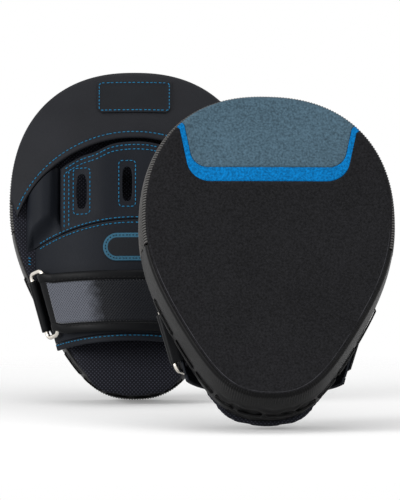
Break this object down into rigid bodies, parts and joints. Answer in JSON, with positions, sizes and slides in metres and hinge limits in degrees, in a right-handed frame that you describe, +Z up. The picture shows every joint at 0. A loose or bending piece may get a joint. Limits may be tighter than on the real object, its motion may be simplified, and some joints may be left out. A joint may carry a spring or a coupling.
{
  "type": "pair of curved focus mitts",
  "caption": "Pair of black leather focus mitts with a curved pieced striking face, laced edge, glove back with finger hood and thumb sleeve, and a ringed hook-and-loop wrist strap.",
  "frame": {"origin": "the middle of the front mitt's back at half its length, where the palm lies", "axes": "+Z up; the front mitt's striking face looks to -Y, turned 4 degrees about its own length, and the rear mitt's glove looks to -Y; X runs across the pads"},
  "size_m": [0.3009, 0.4127, 0.2582],
  "materials": {
    "face_leather": "satin",
    "glove_leather": "satin",
    "grey_leather": "satin",
    "blue_leather": "satin",
    "woven_gusset": "matte",
    "perforated_back": "matte",
    "foam": "matte",
    "lace": "satin",
    "binding": "satin",
    "lining": "matte",
    "webbing": "matte",
    "loop_pile": "matte",
    "hook_pile": "matte",
    "ring_steel": "brushed"
  },
  "bodies": {
    "front_mitt": {"front_striking_face": "face_leather", "front_accent_border": "blue_leather", "front_accent_panel": "grey_leather", "front_impact_foam": "foam", "front_core_foam": "foam", "front_back_foam": "foam", "front_upper_gusset": "woven_gusset", "front_lower_gusset": "glove_leather", "front_edge_lace": "lace", "front_back_panel": "perforated_back", "front_heel_cushion": "perforated_back", "front_palm_ball": "glove_leather", "front_finger_hood": "glove_leather", "front_hood_hem": "binding", "front_label_patch": "face_leather", "front_knuckle_panel": "glove_leather", "front_hand_panel": "glove_leather", "front_oval_patch": "face_leather", "front_thumb_sleeve": "glove_leather", "front_wrist_cuff": "glove_leather", "front_cuff_lining": "lining", "front_cuff_hem": "binding", "front_ring_tab": "webbing", "front_wrist_strap": "webbing", "front_loop_patch": "loop_pile"},
    "front_ring": {"front_ring": "ring_steel"},
    "front_flap": {"front_strap_flap": "webbing", "front_hook_patch": "hook_pile"},
    "rear_mitt": {"rear_striking_face": "face_leather", "rear_accent_border": "blue_leather", "rear_accent_panel": "grey_leather", "rear_impact_foam": "foam", "rear_core_foam": "foam", "rear_back_foam": "foam", "rear_upper_gusset": "woven_gusset", "rear_lower_gusset": "glove_leather", "rear_edge_lace": "lace", "rear_back_panel": "perforated_back", "rear_heel_cushion": "perforated_back", "rear_palm_ball": "glove_leather", "rear_finger_hood": "glove_leather", "rear_hood_hem": "binding", "rear_label_patch": "face_leather", "rear_knuckle_panel": "glove_leather", "rear_hand_panel": "glove_leather", "rear_oval_patch": "face_leather", "rear_thumb_sleeve": "glove_leather", "rear_wrist_cuff": "glove_leather", "rear_cuff_lining": "lining", "rear_cuff_hem": "binding", "rear_ring_tab": "webbing", "rear_wrist_strap": "webbing", "rear_loop_patch": "loop_pile"},
    "rear_ring": {"rear_ring": "ring_steel"},
    "rear_flap": {"rear_strap_flap": "webbing", "rear_hook_patch": "hook_pile"}
  },
  "joints": [
    {"name": "rear_mitt_slide", "type": "slide", "parent": "front_mitt", "child": "rear_mitt", "axis": [-1, 0, 0], "range_m": [0, 0.2]},
    {"name": "front_ring_hinge", "type": "hinge", "parent": "front_mitt", "child": "front_ring", "pos_m": [-0.07471, -0.02363, -0.05529], "axis": [-0.2681, 0.3655, 0.8914], "range_deg": [0, 25]},
    {"name": "front_flap_hinge", "type": "hinge", "parent": "front_ring", "child": "front_flap", "pos_m": [-0.0675, -0.01084, -0.05836], "axis": [-0.2681, 0.3655, 0.8914], "range_deg": [0, 110]},
    {"name": "rear_ring_hinge", "type": "hinge", "parent": "rear_mitt", "child": "rear_ring", "pos_m": [-0.17661, 0.23317, -0.04678], "axis": [0.2671, -0.1772, -0.9472], "range_deg": [0, 25]},
    {"name": "rear_flap_hinge", "type": "hinge", "parent": "rear_ring", "child": "rear_flap", "pos_m": [-0.16851, 0.22138, -0.04229], "axis": [0.2671, -0.1772, -0.9472], "range_deg": [0, 110]}
  ]
}
